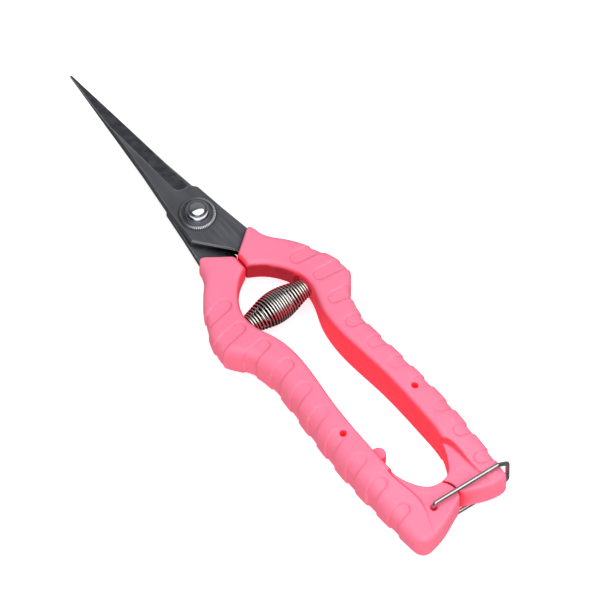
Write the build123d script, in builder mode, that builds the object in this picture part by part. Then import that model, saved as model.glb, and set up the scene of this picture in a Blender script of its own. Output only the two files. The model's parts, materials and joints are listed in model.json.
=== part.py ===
from build123d import *
import math
import os

os.makedirs("parts", exist_ok=True)

# Floral snips lying flat. They are drawn with the origin on the pivot axis, on the plane where the
# two blades meet, and moved at the end so that the origin is at the middle of the closed tool.
# +Y runs to the blade tips, +X to the right handle, +Z to the nut side. All sizes are in mm.

# Blades
tip_y = 61.0
blade_t = 2.5
edge_t = 0.35
bevel_w = 4.35
bevel_end_y = 9.3
tang_w = 5.0
chamfer_w = 0.4

# Pivot
bolt_r = 2.5
running_gap = 0.05
washer_r = 5.4
washer_t = 0.9
tick_count = 60
nut_r = 3.95
nut_h = 2.1
stud_out = 3.1
head_r = 4.3
head_h = 1.9
head_round = 0.9
slot_w = 1.0
slot_depth = 0.8
dome_h = 0.8

# Handles
neck_half = 4.5
grip_half = 7.75
web_half = 4.75
foot_half = 5.0
right_web = ((8.2, -105.0), (9.6, -107.8), (10.3, -113.9), (10.9, -118.9), (12.7, -125.1), (14.5, -130))
left_web = ((9.3, -104), (8.9, -110), (8.2, -116), (9.2, -121), (11.4, -126), (13.8, -130))
web_lean = 0.5
mark_at = (6.9, -117.2)
mark_r = 2.3
mark_depth = 0.15
corner_share = 0.62
inner_round = 2.0
foot_round = 1.8
front_round = 0.8
stop_bevel = 1.3
groove_depth = 0.5
groove_w = 4.4
groove_slant = -8
groove_starts = ((11.0, -30.2), (12.7, -39.2), (10.9, -48.5), (9.7, -58.3), (10.5, -67.8),
                 (11.3, -77.2), (12.4, -86.5), (12.4, -96.5), (12.4, -106.2), (12.0, -116.5))
pin_hole_r = 0.95
pin_hole_at = (13.2, -86.6)
stop_gap = 0.15
front_near = (stop_gap, -18.9)
front_far = (8.1, -13.1)
nub_at = (7.4, -96.0)
nub_r = 2.2
nub_half = 2.5

# Spring
spring_y = -37.6
seat_x = 11.2
seat_r = 4.0
peg_r = 2.1
peg_len = 3.0
coil_wire_r = 0.38
coil_end_r = 2.6
coil_mid_r = 4.6
barrel_power = 1.5
coils = 22
coil_pitch = 0.80
coil_spread = 0.48

# Latch
latch_hole = (-6.5, -121.0)
latch_bar = (19.6, -122.3)
latch_r = 0.85
latch_leg_z = 6.75
latch_slope = 3.5
latch_drop = 2.4
latch_bend_r = 1.2
latch_gap = 1.0


def bevel_tool():
    """The metal ground away to make the bevel: a wedge that rises inward from the cutting edge."""
    lean = math.degrees(math.atan2(4.2, tip_y - bevel_end_y))
    rise = math.degrees(math.atan2(blade_t - edge_t, bevel_w))
    with BuildPart() as wedge:
        with BuildSketch(Plane.XY.offset(-1)):
            with BuildLine():
                Polyline((-0.1, bevel_end_y), (9, bevel_end_y), (9, 70), (-4.4, 70), close=True)
            make_face()
            fillet(vertices().sort_by(Axis.X)[1], 2.4)
        extrude(amount=12)
        with Locations(Location((4.3, bevel_end_y, edge_t), (0, 0, lean))):
            with Locations(Location((0, 20, 0), (0, rise, 0))):
                Box(40, 90, 12, align=(Align.CENTER, Align.CENTER, Align.MIN), mode=Mode.INTERSECT)
    return wedge.part


def blade_solid(bevel):
    """The front blade: triangular point, bevelled edge on +X, neck and tang."""
    with BuildPart() as blade:
        with BuildSketch():
            with BuildLine():
                Polyline((0.3, tip_y), (4.15, 21), (4.5, 13), (4.2, bevel_end_y), (5.8, 7.4))
                Polyline((5.8, 7.4), (7.2, -3), (9.0, -14.5), (9.5, -18))
                Polyline((9.5, -18), (2.0, -18), (1.5, -16.5), (-7.0, -6.2))
                Polyline((-7.0, -6.2), (-6.2, 5), (-4.15, 21), (-0.3, tip_y), (0.3, tip_y))
            make_face()
        extrude(amount=blade_t)
        left_edges = blade.edges().group_by(Axis.Z)[-1].sort_by(Axis.X)
        chamfer([e for e in left_edges if e.center().X < -1.5 and e.length > 5], length=chamfer_w)
        with BuildSketch():
            with BuildLine() as course:
                Spline((5.6, -14), (9.2, -25), (15.2, -36), (13.2, -50), (12.1, -62), (13.6, -92))
            trace(course.line, line_width=tang_w)
        extrude(amount=blade_t)
        add(bevel, mode=Mode.SUBTRACT)
        Cylinder(bolt_r + running_gap, 3 * blade_t, mode=Mode.SUBTRACT)
    return blade.part


# Outer edge of a handle: where along its length (y), how far out it reaches (x), half its thickness.
outer_stations = (
    (-10.0, 9.3, neck_half), (-14.5, 10.4, neck_half), (-18.6, 11.9, neck_half), (-22.6, 15.3, neck_half),
    (-27.4, 18.7, 4.55), (-33.6, 21.8, 5.0), (-39.2, 23.5, 5.7), (-42.2, 23.6, 6.1), (-45.2, 21.9, 6.4),
    (-48.4, 19.4, 6.8), (-52.5, 17.6, 7.2), (-58.5, 16.7, 7.65), (-68.4, 17.2, 7.95),
    (-85.0, 18.4, 8.0), (-98.0, 18.8, 7.9), (-106.0, 18.6, 7.3), (-114.0, 18.4, 6.15),
    (-121.0, 18.1, 5.35), (-126.0, 17.7, foot_half), (-132.0, 17.0, 4.8),
)


def rounded_log(inset):
    """The outer half of a grip: sections along Y with rounded outer corners, lofted smooth."""
    with BuildPart() as log:
        for y, x, half in outer_stations:
            with BuildSketch(Plane(origin=(0, y, 0), x_dir=(1, 0, 0), z_dir=(0, -1, 0))):
                with Locations((x - inset, 0)):
                    Rectangle(30, 2 * (half - inset), align=(Align.MAX, Align.CENTER))
                fillet(vertices().group_by(Axis.X)[-1], corner_share * half - inset)
        loft()
    return log.part


def inner_plan(foot):
    """The area a handle may fill: bounded by its front end, inner side and foot, open on the outside."""
    with BuildSketch() as area:
        with BuildLine():
            Polyline((stop_gap, -23.4), front_near, front_far)
            ThreePointArc(front_far, (9.2, -13.05), (9.7, -14.1))
            Polyline((9.7, -14.1), (11.7, -14.6), (40, -14.6), (40, -118))
            foot()
            Spline((9.25, -98), (8.6, -75), (7.1, -55.5), (8.3, -48), (10.5, -41.5), (10.2, -34.5),
                   (7.0, -28.8), (3.2, -25.2), (stop_gap, -23.4), tangents=[(0, 1), (-0.85, 0.5)])
        make_face()
    return area.sketch


def left_foot():
    """Foot of the left handle, drawn on the +X side before it is mirrored."""
    Line((40, -118), (18.6, -118))
    Spline((18.6, -118), (17.9, -125.6), (15.2, -128.6), (11.6, -128.5), (6.7, -127), (0.9, -124.2),
           (-1.6, -122.9), tangents=[(-0.03, -1), (-0.85, 0.5)])
    ThreePointArc((-1.6, -122.9), (-2.35, -119.3), (-0.2, -115.3))
    Spline((-0.2, -115.3), (6.1, -111.4), (9.25, -98), tangents=[(1, 0), (0, 1)])


def right_foot():
    """Foot of the right handle, with the toe the latch hooks round."""
    Line((40, -118), (18.4, -118))
    Spline((18.4, -118), (17.6, -121.0), (17.5, -123.6), tangents=[(-0.1, -1), (0, -1)])
    ThreePointArc((17.5, -123.6), (16.85, -125.25), (15.2, -125.9))
    Spline((15.2, -125.9), (11.0, -125.3), (6.0, -123.3), (2.33, -121.5), tangents=[(-1, 0), (-0.85, 0.5)])
    ThreePointArc((2.33, -121.5), (2.65, -119.3), (0.5, -115.3))
    Spline((0.5, -115.3), (6.1, -111.4), (9.25, -98), tangents=[(1, 0), (0, 1)])


def groove_tool(core):
    """The finger grooves: round-ended slots wrapping over the outer side, as deep as the core allows."""
    with BuildPart() as tool:
        with BuildSketch(Plane.XY.offset(-12)):
            for x, y in groove_starts:
                with Locations(Location((x + groove_w / 2, y), groove_slant)):
                    Circle(groove_w / 2)
                    Rectangle(25, groove_w, align=(Align.MIN, Align.CENTER))
        extrude(amount=24)
        add(core, mode=Mode.SUBTRACT)
    return tool.part


def rim_edges(solid):
    """Edges that run round the front and back faces, not the upright ones."""
    found = []
    for edge in solid.edges():
        if abs(edge.center().Z) > 3 and edge.position_at(0).Z * edge.position_at(1).Z > 0:
            found.append(edge)
    return found


def is_front_rim(edge):
    """Whether an edge is a rim of the slanted front end."""
    middle = edge.position_at(0.5)
    run = (middle.X - front_near[0]) / (front_far[0] - front_near[0])
    rise = (middle.Y - front_near[1]) / (front_far[1] - front_near[1])
    return abs(rise - run) < 0.001 and middle.X > 0.3


def handle_solid(foot, log, grooves, blade, web):
    """A handle on the +X side: rounded grip, thin web at the foot, grooves, spring seat and tang slot."""
    area = inner_plan(foot)
    with BuildPart() as handle:
        with BuildSketch(Plane.XY.offset(-9)):
            add(area)
        extrude(amount=18)
        add(log, mode=Mode.INTERSECT)
        rims = rim_edges(handle)
        long_rims = [edge for edge in rims if edge.length > 50]
        inner_edges = [edge for edge in long_rims if edge.position_at(0.5).X < 9]
        foot_edges = [edge for edge in rims if edge.center().Y < -110]
        fillet(inner_edges, radius=inner_round)
        fillet(foot_edges, radius=foot_round)
        fillet([edge for edge in rim_edges(handle) if is_front_rim(edge)], radius=front_round)
        # Bevel the rims of the stop wall, where the two necks face each other.
        with BuildSketch(Plane.XZ.offset(15)):
            with BuildLine():
                Polyline((stop_gap - 1, neck_half + 1), (stop_gap - 1, neck_half - stop_bevel - 1),
                         (stop_gap + stop_bevel + 1, neck_half + 1), close=True)
            make_face()
            mirror(about=Plane.XZ)
        extrude(amount=9.5, mode=Mode.SUBTRACT)
        Box(80, 300, 2 * grip_half, mode=Mode.INTERSECT)
        # Thin web between the two feet, recessed from both faces.
        for side in (1, -1):
            with BuildSketch(Plane.XY.offset(side * web_half)):
                with BuildLine():
                    Spline(web)
                    Polyline(web[-1], (-6, -130), (-6, web[0][1]), web[0])
                make_face()
            extrude(amount=6, dir=(web_lean, 0, side), mode=Mode.SUBTRACT)
        # Round moulding mark on each face of the web.
        for side in (1, -1):
            with Locations((*mark_at, side * web_half)):
                Cylinder(mark_r, 2 * mark_depth, mode=Mode.SUBTRACT)
        add(grooves, mode=Mode.SUBTRACT)
        with Locations((*pin_hole_at, 0)):
            Cylinder(pin_hole_r, 20, mode=Mode.SUBTRACT)
        # Spring seat: a shallow pocket with a peg for the end coils.
        with BuildSketch(Plane(origin=(seat_x, spring_y, 0), x_dir=(0, 1, 0), z_dir=(-1, 0, 0))):
            Circle(seat_r)
        extrude(amount=4, mode=Mode.SUBTRACT)
        with BuildSketch(Plane(origin=(seat_x + 0.5, spring_y, 0), x_dir=(0, 1, 0), z_dir=(-1, 0, 0))):
            Circle(peg_r)
        extrude(amount=peg_len + 0.5, taper=5)
        add(blade, mode=Mode.SUBTRACT)
    return handle.part


def left_details(handle):
    """The left handle's own features: the latch hole and the nub that parks the open latch."""
    with BuildPart() as detailed:
        add(handle)
        with Locations((-nub_at[0], nub_at[1], 0)):
            Cylinder(nub_r, 2 * nub_half)
        with Locations((*latch_hole, 0)):
            Cylinder(latch_r + running_gap, 20, mode=Mode.SUBTRACT)
        for side in (1, -1):
            with BuildSketch(Plane.XY.offset(side * web_half)):
                with Locations(latch_hole):
                    Circle(latch_r + running_gap + 0.4)
            extrude(amount=-side * 0.4, taper=44, mode=Mode.SUBTRACT)
    return detailed.part


def spring_axis_x(turn):
    """How far the coil has advanced after so many turns: close wound at the ends and in the middle."""
    phase = 2 * math.pi * turn / coils
    wave = coils / (8 * math.pi) * math.sin(2 * phase) - coils / (64 * math.pi) * math.sin(4 * phase)
    return coil_pitch * turn + coil_spread * (3 * turn / 8 - wave)


def spring_point(turn):
    """A point on the centre line of the barrel spring."""
    along = spring_axis_x(turn) / spring_axis_x(coils)
    radius = coil_end_r + (coil_mid_r - coil_end_r) * math.sin(math.pi * min(along, 1.0)) ** barrel_power
    angle = 2 * math.pi * turn
    span = 2 * (seat_x - coil_wire_r - 0.02)
    return (span * (along - 0.5), spring_y + radius * math.cos(angle), radius * math.sin(angle))


front = blade_solid(bevel_tool())
rear = front.rotate(Axis.Y, 180)

with BuildPart() as front_blade:
    add(front)
with BuildPart() as rear_blade:
    add(rear)
    # Fuller neck that closes the fork under the front blade.
    with BuildSketch(Plane.XY.offset(-blade_t)):
        with BuildLine():
            Polyline((-2.2, -17.25), (-0.6, -18.35), (0.1, -18.3), (1.3, -17.3), (1.3, -12.9),
                     (-2.2, -16.2), close=True)
        make_face()
    extrude(amount=blade_t)

log = rounded_log(0)
grooves = groove_tool(rounded_log(groove_depth))
right_grip = handle_solid(right_foot, log, grooves, front, right_web)
rear_mirrored = mirror(rear, about=Plane.YZ)
left_grip = mirror(handle_solid(left_foot, log, grooves, rear_mirrored, left_web), about=Plane.YZ)

with BuildPart() as right_handle:
    add(right_grip)

with BuildPart() as left_handle:
    add(left_details(left_grip))

with BuildPart() as pivot_bolt:
    stud_top = blade_t + washer_t + stud_out
    head_bottom = -blade_t - head_h
    dome_r = (bolt_r ** 2 + dome_h ** 2) / (2 * dome_h)
    half_angle = math.asin(bolt_r / dome_r) / 2
    dome_mid = (dome_r * math.sin(half_angle), stud_top - dome_r + dome_r * math.cos(half_angle))
    with BuildSketch(Plane.XZ):
        with BuildLine():
            Polyline((0, head_bottom), (head_r, head_bottom), (head_r, -blade_t), (bolt_r, -blade_t),
                     (bolt_r, stud_top - dome_h))
            ThreePointArc((bolt_r, stud_top - dome_h), dome_mid, (0, stud_top))
            Line((0, stud_top), (0, head_bottom))
        make_face()
    revolve(axis=Axis.Z)
    fillet(pivot_bolt.edges().group_by(Axis.Z)[0], radius=head_round)
    with Locations((0, 0, head_bottom)):
        Box(2 * head_r + 1, slot_w, slot_depth * 2, mode=Mode.SUBTRACT)

with BuildPart() as pivot_nut:
    nut_z = blade_t + washer_t
    with BuildSketch(Plane.XZ):
        with BuildLine():
            Polyline((bolt_r, nut_z + nut_h - 0.15), (bolt_r, nut_z), (nut_r, nut_z), (nut_r, nut_z + 0.6))
            ThreePointArc((nut_r, nut_z + 0.6), (nut_r - 0.38, nut_z + 1.65), (nut_r - 1.1, nut_z + nut_h))
            Polyline((nut_r - 1.1, nut_z + nut_h), (bolt_r + 0.15, nut_z + nut_h),
                     (bolt_r, nut_z + nut_h - 0.15))
        make_face()
    revolve(axis=Axis.Z)

with BuildPart() as serrated_washer:
    with Locations((0, 0, blade_t)):
        Cylinder(washer_r, washer_t, align=(Align.CENTER, Align.CENTER, Align.MIN))
    chamfer(serrated_washer.edges().group_by(Axis.Z)[-1], length=0.2)
    Cylinder(bolt_r, 20, mode=Mode.SUBTRACT)
    with Locations((0, 0, blade_t + washer_t)):
        with PolarLocations(washer_r - 0.1, tick_count):
            Box(1.5, 0.26, 0.5, mode=Mode.SUBTRACT)

with BuildPart() as spring:
    with BuildLine() as coil:
        Spline([spring_point(n / 12) for n in range(12 * coils + 1)])
    with BuildSketch(Plane(origin=coil.line @ 0, z_dir=coil.line % 0)):
        Circle(coil_wire_r)
    sweep(path=coil.line, is_frenet=True)

with BuildPart() as latch_wire:
    reach_x = latch_bar[0] - latch_hole[0]
    reach_y = latch_bar[1] - latch_hole[1]
    reach = math.hypot(reach_x, reach_y)
    loop_plane = Plane(origin=(*latch_hole, 0), x_dir=(reach_x, reach_y, 0), z_dir=(reach_y, -reach_x, 0))
    with BuildLine(loop_plane) as loop:
        FilletPolyline((0, latch_gap), (0, latch_leg_z), (reach - latch_slope, latch_leg_z),
                       (reach, latch_leg_z - latch_drop), (reach, latch_drop - latch_leg_z),
                       (reach - latch_slope, -latch_leg_z), (0, -latch_leg_z), (0, -latch_gap),
                       radius=latch_bend_r)
    with BuildSketch(Plane(origin=loop.line @ 0, z_dir=loop.line % 0)):
        Circle(latch_r)
    sweep(path=loop.line)

# Put the origin at the middle of the box round the closed tool.
middle_y = (tip_y + left_handle.part.bounding_box().min.Y) / 2
for piece in (front_blade, rear_blade, right_handle, left_handle, pivot_bolt, pivot_nut, serrated_washer,
              spring, latch_wire):
    piece.part = Pos(0, -middle_y, 0) * piece.part
print("pivot axis is at y =", round(-middle_y, 3))

front_blade.part.label = "front_blade"
export_step(front_blade.part, "parts/front_blade.step")
rear_blade.part.label = "rear_blade"
export_step(rear_blade.part, "parts/rear_blade.step")
right_handle.part.label = "right_handle"
export_step(right_handle.part, "parts/right_handle.step")
left_handle.part.label = "left_handle"
export_step(left_handle.part, "parts/left_handle.step")
pivot_bolt.part.label = "pivot_bolt"
export_step(pivot_bolt.part, "parts/pivot_bolt.step")
pivot_nut.part.label = "pivot_nut"
export_step(pivot_nut.part, "parts/pivot_nut.step")
serrated_washer.part.label = "serrated_washer"
export_step(serrated_washer.part, "parts/serrated_washer.step")
spring.part.label = "spring"
export_step(spring.part, "parts/spring.step")
latch_wire.part.label = "latch_wire"
export_step(latch_wire.part, "parts/latch_wire.step")
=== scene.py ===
import json
import math

import bmesh
import bpy
import numpy as np
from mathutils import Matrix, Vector
from mathutils.bvhtree import BVHTree


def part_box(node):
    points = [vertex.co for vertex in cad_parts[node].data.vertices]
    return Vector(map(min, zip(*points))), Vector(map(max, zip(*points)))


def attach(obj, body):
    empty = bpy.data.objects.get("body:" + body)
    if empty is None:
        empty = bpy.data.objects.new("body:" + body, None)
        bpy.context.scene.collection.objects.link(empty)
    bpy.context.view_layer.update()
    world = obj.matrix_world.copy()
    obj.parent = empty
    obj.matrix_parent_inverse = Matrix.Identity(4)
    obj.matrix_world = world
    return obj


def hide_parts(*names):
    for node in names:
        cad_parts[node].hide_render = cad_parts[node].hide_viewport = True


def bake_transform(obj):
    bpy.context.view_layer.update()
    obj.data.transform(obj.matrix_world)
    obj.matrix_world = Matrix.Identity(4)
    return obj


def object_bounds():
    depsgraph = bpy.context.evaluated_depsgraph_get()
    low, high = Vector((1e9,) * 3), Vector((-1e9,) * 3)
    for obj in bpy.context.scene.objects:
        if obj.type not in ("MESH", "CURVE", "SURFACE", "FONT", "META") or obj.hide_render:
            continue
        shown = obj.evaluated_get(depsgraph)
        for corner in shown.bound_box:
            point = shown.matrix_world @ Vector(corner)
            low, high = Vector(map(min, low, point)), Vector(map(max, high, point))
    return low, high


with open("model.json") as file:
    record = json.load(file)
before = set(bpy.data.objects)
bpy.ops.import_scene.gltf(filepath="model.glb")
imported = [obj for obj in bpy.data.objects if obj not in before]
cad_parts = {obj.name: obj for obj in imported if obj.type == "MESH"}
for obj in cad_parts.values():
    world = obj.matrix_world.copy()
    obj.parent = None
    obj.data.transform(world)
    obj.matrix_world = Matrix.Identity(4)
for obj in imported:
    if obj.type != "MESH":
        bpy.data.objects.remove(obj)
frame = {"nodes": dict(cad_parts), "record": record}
cad_low, cad_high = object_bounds()

# Everything is in metres, in the part's own frame: +Y to the blade tips, +X to the right handle,
# +Z to the nut side.
MM = 0.001
nodes = frame["nodes"]
joints = {joint["name"]: joint for joint in frame["record"]["behaviour"]["joints"]}
pivot_y = joints["handle_opening"]["pos_m"][1]

# Camera: a long lens from far away, so that the tool is drawn almost without perspective.
AZIMUTH = math.radians(-37.7)
ELEVATION = math.radians(60)
CAMERA_DISTANCE = 7.0
CAMERA_CLIP = (0.1, 20)
SENSOR_WIDTH_MM = 36
PICTURE_WIDTH_PX = 600
PX_PER_MM = 3.425
LOOK_AT = Vector((6.9 * MM, -6.19 * MM, 0))

# The picture's own directions along the floor: towards the viewer, and to the right.
NEAR = Vector((math.sin(AZIMUTH), -math.cos(AZIMUTH), 0))
RIGHT = Vector((math.cos(AZIMUTH), math.sin(AZIMUTH), 0))

# Handles: how finely they are remeshed, and how their surface looks round itself to find hollows.
VOXEL = 0.00028
RELAX_STEPS = 4
LOOKS = 20                          # from each point that is tried
LIFT = 0.3 * MM                     # of a look's start above the surface
REACH = 35 * MM                     # of a look
CLOSE = 3 * MM                      # what a look finds nearer than this is close by
CELL = 1.2 * MM                     # size of a patch of surface that shares its looks
RING_FOOT_Y = (-35 * MM, -20 * MM)  # the ring round the spring begins between these

# Blades, washer and latch
BLADE_EDGE_ROUND = 0.18 * MM
WASHER_RIM_R = (4.55 * MM, 4.75 * MM)
WASHER_TEETH = 60
LATCH_THINNER_BY = 0.20 * MM

# Spring
COILS = 24
COIL_STEPS = 40
COIL_SIDES = 12
COIL_END_R = 2.6 * MM
COIL_MID_R = 4.6 * MM
WIRE_R = 0.38 * MM
HALF_SPAN = 10.8 * MM
BARREL_POWER = 1.5                  # over 1, the ends stay narrow for longer
CLOSE_PITCH = 0.80
EXTRA_PITCH = 0.27

# Studio: the floor, the softbox overhead, and what the world shows to each kind of ray.
FLOOR_HALF = 3.0
FLOOR_GAP = 0.05 * MM
FLOOR_GLOW = (0.48, 0.64)           # to the tool, to the camera
SOFTBOX_PLACE = NEAR * 0.28 + RIGHT * 0.22 + Vector((0, 0, 0.62))
SOFTBOX_SIZE = (1.25, 0.98)
SOFTBOX_WATTS = 7.4
SOFTBOX_TURN = math.radians(20)
WORLD_BEHIND = 1.0
WORLD_FILL = 0.37
MIRRORED_WALL = (0.04, 0.26)
MIRRORED_BOX = 0.9
MIRRORED_BOX_WAY = NEAR * 0.9 + Vector((0, 0, 0.436))


# ---------------------------------------------------------------- node helpers

class Nodes:
    """A node tree built by calls. What is fed to a socket may be a value or another node's output."""

    def __init__(self, tree):
        self.tree = tree

    def add(self, kind, inputs=(), **settings):
        made = self.tree.nodes.new(kind)
        for key, value in settings.items():
            setattr(made, key, value)
        for key, value in dict(inputs).items():
            self.feed(made.inputs[key], value)
        return made

    def feed(self, socket, value):
        if isinstance(value, bpy.types.NodeSocket):
            self.tree.links.new(value, socket)
        else:
            socket.default_value = value

    def math(self, operation, a, b=0.0):
        return self.add("ShaderNodeMath", {0: a, 1: b}, operation=operation).outputs[0]

    def times(self, a, b):
        return self.math("MULTIPLY", a, b)

    def mix(self, factor, a, b):
        """Number a where the factor is 0, number b where it is 1."""
        return self.add("ShaderNodeMix", {"Factor": factor, 2: a, 3: b}).outputs[0]

    def dot(self, a, b):
        return self.add("ShaderNodeVectorMath", {0: a, 1: b}, operation="DOT_PRODUCT").outputs["Value"]

    def ramp(self, value, low, high, to_low=0.0, to_high=1.0, kind="SMOOTHSTEP"):
        """Carries low..high over to to_low..to_high and stays flat outside them."""
        inputs = {"Value": value, "From Min": low, "From Max": high, "To Min": to_low, "To Max": to_high}
        return self.add("ShaderNodeMapRange", inputs, interpolation_type=kind).outputs[0]


class Shader(Nodes):
    """A material's node tree. Its textures are placed in object coordinates, in metres."""

    def __init__(self, name):
        self.material = bpy.data.materials.new(name)
        self.material.use_nodes = True
        super().__init__(self.material.node_tree)
        self.bsdf = self.tree.nodes["Principled BSDF"]
        self.place = self.add("ShaderNodeTexCoord").outputs["Object"]

    def set(self, **values):
        for key, value in values.items():
            self.feed(self.bsdf.inputs[key.replace("_", " ")], value)

    def noise(self, scale, detail=3.0, rough=0.5, stretch=(1, 1, 1)):
        """Noise with so many cells per metre, longest where the stretch is smallest."""
        place = self.add("ShaderNodeMapping", {"Vector": self.place, "Scale": stretch}).outputs[0]
        inputs = {"Vector": place, "Scale": scale, "Detail": detail, "Roughness": rough}
        return self.add("ShaderNodeTexNoise", inputs).outputs["Fac"]

    def blend(self, factor, a, b):
        """Colour a where the factor is 0, colour b where it is 1."""
        made = self.add("ShaderNodeMix", {"Factor": factor}, data_type="RGBA")
        for socket, value in ((made.inputs[6], a), (made.inputs[7], b)):
            self.feed(socket, value if isinstance(value, bpy.types.NodeSocket) else (*value, 1.0))
        return made.outputs[2]

    def grey(self, value):
        return self.add("ShaderNodeCombineColor", {0: value, 1: value, 2: value}).outputs[0]

    def axis(self, name):
        """One object coordinate, by its letter."""
        return self.add("ShaderNodeSeparateXYZ", {"Vector": self.place}).outputs[name]

    def bump(self, height, strength, distance, base=None):
        inputs = {"Height": height, "Strength": strength, "Distance": distance}
        if base is not None:
            inputs["Normal"] = base
        return self.add("ShaderNodeBump", inputs).outputs[0]

    def attribute(self, name):
        return self.add("ShaderNodeAttribute", attribute_name=name).outputs["Fac"]

    def pointiness(self, low, high):
        """For dense meshes: 0 to 1 on ridges if low is below high, and in valleys if it is above."""
        return self.ramp(self.add("ShaderNodeNewGeometry").outputs["Pointiness"], low, high)

    def worn_edges(self, radius):
        """For sparse meshes: 0 on flats to 1 where the surface turns within so many metres."""
        rounded = self.add("ShaderNodeBevel", {"Radius": radius}, samples=4).outputs[0]
        true = self.add("ShaderNodeNewGeometry").outputs["Normal"]
        return self.ramp(self.dot(rounded, true), 0.99, 0.86)

    def facing(self, way):
        """How much the surface faces one way, -1 to 1, in the object's own frame."""
        return self.dot(self.add("ShaderNodeTexCoord").outputs["Normal"], way)


# ---------------------------------------------------------------- materials

def pink_plastic():
    """Satin moulded plastic, a little translucent, with painted shade, highlights and glow. It reads the
    three values of store_openness.
    """
    # top is the lit pink, and wall and deep are its painted shade.
    top = (0.93, 0.198, 0.322), (0.98, 0.235, 0.370)
    deep = (0.98, 0.042, 0.075), (1.0, 0.062, 0.105)
    wall = (0.98, 0.115, 0.185)
    painted_ridge_highlight, painted_valley_shade = (1.0, 0.36, 0.50), (0.93, 0.060, 0.125)
    ring_shade, seam_shade = (0.42, 0.012, 0.026), (0.55, 0.016, 0.030)
    painted_wall_glow, painted_hole_glow = (1.0, 0.085, 0.135), (1.0, 0.010, 0.010)

    s = Shader("pink_plastic")
    cloud = s.noise(55, 2)
    hole, seam = s.attribute("hole"), s.attribute("seam")
    # The painted shade spares faces that look up, so they stay pale even low down between the handles.
    hollow = s.times(s.attribute("hollow"), s.ramp(s.facing((0, 0, 1)), 0.6, 0.95, 1.0, 0.3))
    inside = s.ramp(hollow, 0.08, 0.18)
    outside = s.math("SUBTRACT", 1.0, inside)

    # Painted shade: side walls are painted deeper pink than the tops, and walls between the handles redder
    # still, for shade and pink light bounced between the handles.
    walls = s.times(s.ramp(s.math("ABSOLUTE", s.facing((0, 0, 1))), 0.85, 0.25), 0.5)
    colour = s.blend(walls, s.blend(cloud, *top), wall)
    colour = s.blend(s.ramp(hollow, 0.03, 0.24), colour, s.blend(cloud, *deep))

    # Grooves get a thin painted highlight along their crests and thin painted red shade in their troughs.
    colour = s.blend(s.times(s.times(s.pointiness(0.505, 0.57), 0.30), outside), colour, painted_ridge_highlight)
    colour = s.blend(s.times(s.times(s.pointiness(0.497, 0.46), 0.55), outside), colour, painted_valley_shade)

    # Painted shade: the wall behind the spring, which faces the viewer, is painted dark crimson, and so is
    # the seam between the handles.
    in_ring = s.times(inside, s.ramp(s.axis("Y"), *RING_FOOT_Y))
    shaded = s.times(s.ramp(s.facing(tuple(NEAR)), 0.72, 0.97), in_ring)
    colour = s.blend(s.times(shaded, 0.75), colour, ring_shade)
    colour = s.blend(s.ramp(seam, 0.25, 0.6, 0.0, 0.9), colour, seam_shade)

    # A painted glow in the walls and holes, standing in for light that the plastic carries through itself.
    glow = s.math("ADD", s.ramp(hollow, 0.08, 0.30, 0.0, 0.16), s.ramp(hole, 0.5, 0.8, 0.0, 0.35))
    glow = s.times(glow, s.ramp(seam, 0.05, 0.3, 1.0, 0.0))
    glow = s.times(glow, s.ramp(shaded, 0.0, 1.0, 1.0, 0.0))

    s.set(Base_Color=colour)
    s.set(Emission_Color=s.blend(s.ramp(hole, 0.4, 0.7), painted_wall_glow, painted_hole_glow), Emission_Strength=glow)
    s.set(Roughness=s.ramp(s.noise(900, 4), 0.3, 0.7, 0.36, 0.48))
    s.set(Specular_IOR_Level=s.ramp(inside, 0.0, 1.0, 0.42, 0.08))
    s.set(Subsurface_Weight=0.12, Subsurface_Scale=0.0012, Subsurface_Radius=(1.0, 0.22, 0.28))
    peel = s.bump(s.noise(1600, 2), 0.12, 0.00006)
    s.set(Normal=s.bump(s.noise(140, 2), 0.15, 0.00025, peel))
    return s.material


def dark_steel():
    """Blackened blade steel, ground along its length, with a bevel ground across in cooler bands."""
    flat = (0.148, 0.158, 0.178), (0.215, 0.227, 0.250)
    ground = (0.098, 0.112, 0.145), (0.210, 0.216, 0.232)
    scratch, painted_crevice_shade, exposed_steel_and_highlight = (0.26, 0.26, 0.28), (0.004, 0.004, 0.005), (0.62, 0.63, 0.66)

    s = Shader("dark_steel")
    along = s.noise(1800, 4, 0.6, (1.0, 0.05, 1.0))
    across = s.noise(2200, 4, 0.6, (0.05, 1.0, 1.0))
    cloud = s.noise(120, 4, 0.6, (1.0, 0.45, 1.0))
    bands = s.noise(420, 4, 0.6, (0.16, 1.0, 1.0))
    upright = s.math("ABSOLUTE", s.facing((0, 0, 1)))
    bevel = s.times(s.ramp(upright, 0.80, 0.86), s.ramp(upright, 0.97, 0.92))
    worn = s.worn_edges(0.30 * MM)
    open_sky = s.add("ShaderNodeAmbientOcclusion", {"Distance": 5 * MM}, samples=8).outputs["AO"]

    colour = s.blend(bevel, s.blend(cloud, *flat), s.blend(s.ramp(bands, 0.32, 0.68), *ground))
    colour = s.blend(s.times(s.ramp(along, 0.35, 0.7), 0.18), colour, scratch)
    # Painted shade: the steel goes near black where little open sky reaches it, between the blades and the
    # handles.
    colour = s.blend(s.ramp(open_sky, 0.35, 0.95), painted_crevice_shade, colour)
    # Edges turn pale and less metallic: partly exposed worn steel, partly a painted highlight along the
    # chamfers.
    colour = s.blend(s.times(worn, 0.9), colour, exposed_steel_and_highlight)
    grain = s.blend(bevel, s.grey(along), s.grey(across))
    s.set(Base_Color=colour, Metallic=s.ramp(worn, 0.2, 1.0, 1.0, 0.35))
    s.set(Roughness=s.ramp(grain, 0.3, 0.7, 0.34, 0.50), Normal=s.bump(grain, 0.25, 0.00003))
    return s.material


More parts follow.
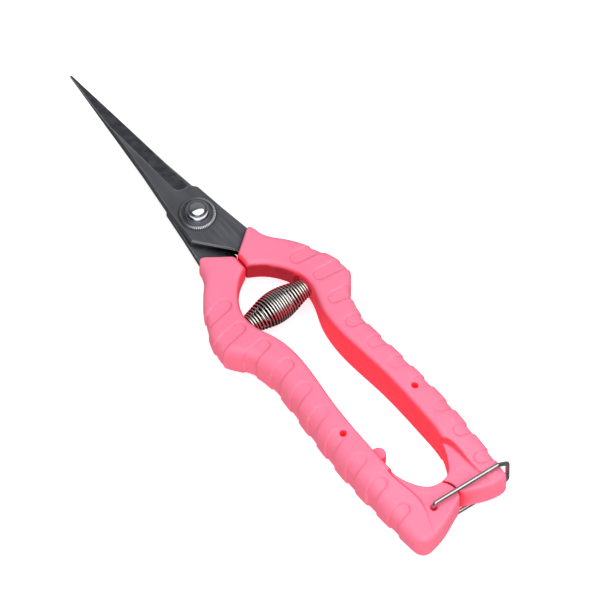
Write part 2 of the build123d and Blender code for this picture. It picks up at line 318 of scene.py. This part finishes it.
def bright_metal(name, dark, light, rough):
    """Plated or drawn metal with fine scratches, a slightly patchy polish and brighter worn edges."""
    s = Shader(name)
    fine = s.noise(2600, 3, 0.6)
    cloud = s.noise(260, 3)
    worn = s.times(s.worn_edges(0.10 * MM), 0.5)
    patches = s.math("ADD", s.times(fine, 0.5), s.times(cloud, 0.5))
    s.set(Base_Color=s.blend(worn, s.blend(cloud, dark, light), (0.92, 0.92, 0.94)), Metallic=1.0)
    s.set(Roughness=s.ramp(patches, 0.3, 0.7, rough * 0.7, rough * 1.4))
    s.set(Normal=s.bump(fine, 0.1, 0.00002))
    return s.material


def ticked_washer():
    """Dark washer steel, with a painted glint on each of the teeth round its rim and painted shade between
    them.
    """
    body = (0.10, 0.10, 0.11), (0.19, 0.19, 0.21)
    painted_notch_shade, painted_tooth_glint = (0.006, 0.006, 0.007), (0.95, 0.95, 0.97)

    s = Shader("ticked_washer")
    cloud = s.noise(400, 3)
    x = s.axis("X")
    y = s.math("SUBTRACT", s.axis("Y"), pivot_y)
    radius = s.math("SQRT", s.math("ADD", s.times(x, x), s.times(y, y)))
    # Painted light on the serrations: a glint on each of the teeth, near-black shade between them.
    wave = s.math("SINE", s.times(s.math("ARCTAN2", y, x), WASHER_TEETH))
    teeth = s.blend(s.ramp(wave, -0.5, 0.5), painted_notch_shade, painted_tooth_glint)
    rim = s.ramp(radius, *WASHER_RIM_R)
    s.set(Base_Color=s.blend(rim, s.blend(cloud, *body), teeth), Metallic=1.0)
    s.set(Roughness=s.ramp(cloud, 0.3, 0.7, 0.28, 0.42))
    s.set(Normal=s.bump(s.noise(2600, 3), 0.1, 0.00002))
    return s.material


def coil_metal():
    """Bright spring wire with painted dark red shade where one coil faces the next. It reads the value
    "outer".
    """
    bright = (0.66, 0.65, 0.60), (0.88, 0.87, 0.83)
    painted_coil_shade = (0.016, 0.003, 0.003), (0.070, 0.006, 0.008)

    s = Shader("coil_metal")
    cloud = s.noise(500, 3)
    outer = s.ramp(s.attribute("outer"), 0.58, 0.98)
    # Painted shade: the wire's sides, where coils face each other, are painted dark red.
    s.set(Base_Color=s.blend(outer, s.blend(cloud, *painted_coil_shade), s.blend(cloud, *bright)), Metallic=1.0)
    s.set(Roughness=s.ramp(cloud, 0.3, 0.7, 0.26, 0.38))
    s.set(Normal=s.bump(s.noise(3000, 3), 0.08, 0.00002))
    return s.material


def pale_floor():
    """White to the camera, dimmer in the light it casts, and dark in the metal's reflections."""
    s = Shader("pale_floor")
    rays = s.add("ShaderNodeLightPath").outputs
    mirrored = rays["Is Glossy Ray"]
    glow = s.mix(rays["Is Camera Ray"], *FLOOR_GLOW)
    s.set(Base_Color=s.blend(mirrored, (0.78, 0.78, 0.78), (0.16, 0.15, 0.15)))
    s.set(Emission_Color=(1, 1, 1, 1), Emission_Strength=s.mix(mirrored, glow, 0.0))
    s.set(Roughness=0.9, Specular_IOR_Level=0.1)
    return s.material


# ---------------------------------------------------------------- mesh helpers

def new_object(name, mesh):
    made = bpy.data.objects.new(name, mesh)
    bpy.context.scene.collection.objects.link(made)
    return made


def mesh_data(name, mesh):
    """Turns a bmesh into mesh data and frees it."""
    data = bpy.data.meshes.new(name)
    mesh.to_mesh(data)
    mesh.free()
    return data


def apply_modifiers(obj):
    graph = bpy.context.evaluated_depsgraph_get()
    mesh = bpy.data.meshes.new_from_object(obj.evaluated_get(graph))
    obj.modifiers.clear()
    old = obj.data
    obj.data = mesh
    bpy.data.meshes.remove(old)


def stand_in(piece, node, body, look):
    """Gives a piece its material and puts it in the place of a CAD node, on that node's body."""
    piece.data.materials.clear()
    piece.data.materials.append(look)
    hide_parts(node)
    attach(piece, body)


def arrays(mesh):
    """The mesh's points and normals, one row each."""
    points = np.empty(len(mesh.vertices) * 3, np.float32)
    normals = np.empty(len(mesh.vertices) * 3, np.float32)
    mesh.vertices.foreach_get("co", points)
    mesh.vertices.foreach_get("normal", normals)
    return points.reshape(-1, 3), normals.reshape(-1, 3)


def store(mesh, name, values):
    """Keeps one number at each point, for the material to read."""
    mesh.attributes.new(name, "FLOAT", "POINT").data.foreach_set("value", values.astype(np.float32))


# ---------------------------------------------------------------- handles

def moulded(node, name):
    """A copy of a CAD solid remeshed evenly and relaxed, so that its rims and grooves look moulded."""
    made = new_object(name, nodes[node].data.copy())
    remesh = made.modifiers.new("remesh", "REMESH")
    remesh.mode = "VOXEL"
    remesh.voxel_size = VOXEL
    remesh.use_smooth_shade = True
    relax = made.modifiers.new("relax", "SMOOTH")
    relax.factor = 0.5
    relax.iterations = RELAX_STEPS
    apply_modifiers(made)
    return made


def tree_of(objects):
    """One search tree over all the objects' faces, in order."""
    points, faces = [], []
    for obj in objects:
        base = len(points)
        points += [v.co.copy() for v in obj.data.vertices]
        faces += [[base + i for i in p.vertices] for p in obj.data.polygons]
    return BVHTree.FromPolygons(points, faces)


def hemisphere(count):
    """Directions spread evenly over the half of space round +Z."""
    golden = math.pi * (3 - math.sqrt(5))
    out = []
    for i in range(count):
        z = math.sqrt((i + 0.5) / count)
        r = math.sqrt(1 - z * z)
        out.append(Vector((r * math.cos(golden * i), r * math.sin(golden * i), z)))
    return out


def look_round(point, normal, tree, own_faces, directions):
    """What the looks from a point find: anything within REACH (counting more the nearer it is),
    the point's own handle close by, and the other handle close by, each from 0 to 1."""
    side = normal.orthogonal().normalized()
    up = normal.cross(side)
    start = point + normal * LIFT
    found = np.zeros(3)
    for d in directions:
        _, _, face, far = tree.ray_cast(start, side * d.x + up * d.y + normal * d.z, REACH)
        if face is None:
            continue
        found[0] += 1 - 0.5 * far / REACH
        if far < CLOSE:
            found[1 if face in own_faces else 2] += 1
    return found / len(directions)


def spread(values, edges, degree, times):
    """Values averaged with their neighbours' so many times."""
    for _ in range(times):
        total = np.zeros(len(values))
        np.add.at(total, edges[:, 0], values[edges[:, 1]])
        np.add.at(total, edges[:, 1], values[edges[:, 0]])
        values = 0.5 * values + 0.5 * total / degree
    return values


def store_openness(mesh, tree, own_faces):
    """Stores three values, 0 to 1, at each point of a handle.

    "hollow" is how closed in it is by both handles, "hole" how much of its own handle it sees close by,
    and "seam" how much of the other one. At most three points are tried in each small patch.
    """
    points, normals = arrays(mesh)
    directions = hemisphere(LOOKS)
    patch_of = np.column_stack([np.round(points / CELL), np.round(normals * 2)]).astype(int)
    _, patch, sizes = np.unique(patch_of, axis=0, return_inverse=True, return_counts=True)
    patch = patch.ravel()
    members = np.split(np.argsort(patch, kind="stable"), np.cumsum(sizes)[:-1])
    found = np.zeros((len(sizes), 3))
    for number, group in enumerate(members):
        picked = {int(group[0]), int(group[len(group) // 2]), int(group[-1])}
        looks = [look_round(Vector(points[i]), Vector(normals[i]), tree, own_faces, directions)
                 for i in sorted(picked)]
        found[number] = sum(looks) / len(looks)
    edges = np.empty(len(mesh.edges) * 2, np.int64)
    mesh.edges.foreach_get("vertices", edges)
    edges = edges.reshape(-1, 2)
    degree = np.bincount(edges.ravel(), minlength=len(points)).clip(1)
    for column, (name, times) in enumerate((("hollow", 24), ("hole", 6), ("seam", 6))):
        store(mesh, name, spread(found[patch, column], edges, degree, times))


plastic = pink_plastic()
grips = []
for side in ("right", "left"):
    grip = moulded(side + "_handle", side + "_grip")
    stand_in(grip, side + "_handle", side + "_half", plastic)
    grips.append(grip)
both = tree_of(grips)
first = 0
for grip in grips:
    last = first + len(grip.data.polygons)
    store_openness(grip.data, both, range(first, last))
    first = last


# ---------------------------------------------------------------- blades, pivot and latch

def dressed(node, name, body, look, edge=0.0, sharp=30, thinner=0.0):
    """A copy of a CAD solid with its facets joined, its edges broken by a small round and even shading."""
    mesh = bmesh.new()
    mesh.from_mesh(nodes[node].data)
    bmesh.ops.remove_doubles(mesh, verts=mesh.verts, dist=1e-6)
    bmesh.ops.dissolve_limit(mesh, angle_limit=math.radians(0.6), verts=mesh.verts, edges=mesh.edges)
    made = new_object(name, mesh_data(name, mesh))
    if edge:
        bevel = made.modifiers.new("bevel", "BEVEL")
        bevel.width = edge
        bevel.segments = 2
        bevel.limit_method = "ANGLE"
        bevel.angle_limit = math.radians(20)
        apply_modifiers(made)
    if thinner:
        places, facings = arrays(made.data)
        made.data.vertices.foreach_set("co", (places - facings * thinner).ravel())
    for face in made.data.polygons:
        face.use_smooth = True
    made.data.set_sharp_from_angle(angle=math.radians(sharp))
    made.modifiers.new("even", "WEIGHTED_NORMAL").keep_sharp = True
    apply_modifiers(made)
    stand_in(made, node, body, look)


steel = dark_steel()
stud_nickel = bright_metal("nickel_plate", (0.50, 0.52, 0.58), (0.70, 0.71, 0.75), 0.10)
nut_nickel = bright_metal("dark_nickel", (0.34, 0.36, 0.41), (0.50, 0.52, 0.58), 0.15)
wire_steel = bright_metal("wire_steel", (0.42, 0.42, 0.42), (0.62, 0.62, 0.62), 0.20)
dressed("front_blade", "front_blade_ground", "right_half", steel, BLADE_EDGE_ROUND, 28)
dressed("rear_blade", "rear_blade_ground", "left_half", steel, BLADE_EDGE_ROUND, 28)
dressed("pivot_bolt", "pivot_stud", "left_half", stud_nickel)
dressed("pivot_nut", "domed_nut", "left_half", nut_nickel)
dressed("serrated_washer", "toothed_washer", "left_half", ticked_washer(), sharp=20)
dressed("latch_wire", "latch_loop", "latch", wire_steel, sharp=40, thinner=LATCH_THINNER_BY)


# ---------------------------------------------------------------- spring

def advance(turn):
    """How far the coil has gone after so many turns: close wound at its ends and in its middle.

    This is the integral of the pitch, CLOSE_PITCH + EXTRA_PITCH * sin(phase) ** 4.
    """
    phase = 2 * math.pi * turn / COILS
    wave = COILS / (8 * math.pi) * math.sin(2 * phase) - COILS / (64 * math.pi) * math.sin(4 * phase)
    return CLOSE_PITCH * turn + EXTRA_PITCH * (3 * turn / 8 - wave)


def coil_point(turn, middle_y):
    """A point on the wire's centre line: a coil round the X direction that is widest in the middle."""
    along = advance(turn) / advance(COILS)
    r = COIL_END_R + (COIL_MID_R - COIL_END_R) * math.sin(math.pi * min(along, 1.0)) ** BARREL_POWER
    a = 2 * math.pi * turn
    return Vector((HALF_SPAN * (2 * along - 1), middle_y + r * math.cos(a), r * math.sin(a)))


def tube(name, points, radius, sides):
    """A closed round tube along a run of points, with its section carried along without twist."""
    last = len(points) - 1
    mesh = bmesh.new()
    rings = []
    turns = [2 * math.pi * k / sides for k in range(sides)]
    side = (points[1] - points[0]).normalized().orthogonal().normalized()
    for i, point in enumerate(points):
        tangent = (points[min(i + 1, last)] - points[max(i - 1, 0)]).normalized()
        side = (side - tangent * side.dot(tangent)).normalized()
        up = tangent.cross(side)
        ring = [point + (side * math.cos(a) + up * math.sin(a)) * radius for a in turns]
        rings.append([mesh.verts.new(place) for place in ring])
    for a, b in zip(rings, rings[1:]):
        for k in range(sides):
            mesh.faces.new((a[k], a[(k + 1) % sides], b[(k + 1) % sides], b[k]))
    mesh.faces.new(rings[0][::-1])
    mesh.faces.new(rings[-1])
    for face in mesh.faces:
        face.smooth = len(face.verts) == 4
    return new_object(name, mesh_data(name, mesh))


def barrel_coil():
    """The spring as one long wire, between the two handles."""
    low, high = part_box("spring")
    middle_y = (low[1] + high[1]) / 2
    line = [coil_point(n / COIL_STEPS, middle_y) for n in range(COILS * COIL_STEPS + 1)]
    coil = tube("barrel_coil", line, WIRE_R, COIL_SIDES)
    coil.data.materials.append(coil_metal())

    # How much each point faces away from the coil's own axis.
    places, facings = arrays(coil.data)
    spokes = places - [[0, middle_y, 0]]
    spokes[:, 0] = 0
    spokes /= np.linalg.norm(spokes, axis=1)[:, None]
    store(coil.data, "outer", (facings * spokes).sum(axis=1))

    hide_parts("spring")
    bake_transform(coil)


barrel_coil()


# ---------------------------------------------------------------- stage, light, camera

def floor():
    z = cad_low[2] - FLOOR_GAP
    corners = [(-1, -1), (1, -1), (1, 1), (-1, 1)]
    mesh = bpy.data.meshes.new("floor")
    mesh.from_pydata([(x * FLOOR_HALF, y * FLOOR_HALF, z) for x, y in corners], [], [(0, 1, 2, 3)])
    mesh.materials.append(pale_floor())
    new_object("floor", mesh)


def softbox():
    """One large light overhead, a little towards the viewer and to the right, facing straight down."""
    data = bpy.data.lights.new("key", "AREA")
    data.shape = "RECTANGLE"
    data.size, data.size_y = SOFTBOX_SIZE
    data.energy = SOFTBOX_WATTS
    light = bpy.data.objects.new("key", data)
    light.location = SOFTBOX_PLACE
    light.rotation_euler = (0, 0, AZIMUTH + SOFTBOX_TURN)
    bpy.context.scene.collection.objects.link(light)


def studio_world():
    """White behind the floor, an even grey fill on the tool, and its own reflections for the metal."""
    world = bpy.data.worlds.new("studio")
    world.use_nodes = True
    bpy.context.scene.world = world
    w = Nodes(world.node_tree)
    way = w.add("ShaderNodeTexCoord").outputs["Generated"]
    rays = w.add("ShaderNodeLightPath").outputs

    # Metal reflects a dim wall behind the tool and a low bright box on the viewer's side.
    wall = w.ramp(w.dot(way, -NEAR), -0.2, 0.6, *MIRRORED_WALL, "LINEAR")
    box = w.ramp(w.dot(way, MIRRORED_BOX_WAY), 0.86, 0.97, 0.0, MIRRORED_BOX, "LINEAR")
    mirrored = w.math("ADD", wall, box)
    light = w.mix(rays["Is Glossy Ray"], WORLD_FILL, mirrored)
    background = world.node_tree.nodes["Background"]
    w.feed(background.inputs["Strength"], 1.0)
    w.feed(background.inputs["Color"], w.mix(rays["Is Camera Ray"], light, WORLD_BEHIND))


def camera():
    back = NEAR * math.cos(ELEVATION) + Vector((0, 0, math.sin(ELEVATION)))
    lens = bpy.data.cameras.new("camera")
    lens.sensor_width = SENSOR_WIDTH_MM
    lens.lens = SENSOR_WIDTH_MM * CAMERA_DISTANCE / (PICTURE_WIDTH_PX / PX_PER_MM * MM)
    lens.clip_start, lens.clip_end = CAMERA_CLIP
    made = bpy.data.objects.new("camera", lens)
    made.location = LOOK_AT + back * CAMERA_DISTANCE
    made.rotation_euler = (-back).to_track_quat("-Z", "Y").to_euler()
    bpy.context.scene.collection.objects.link(made)
    bpy.context.scene.camera = made


floor()
softbox()
studio_world()
camera()
bpy.context.scene.view_settings.view_transform = "Standard"
bpy.context.scene.view_settings.look = "None"
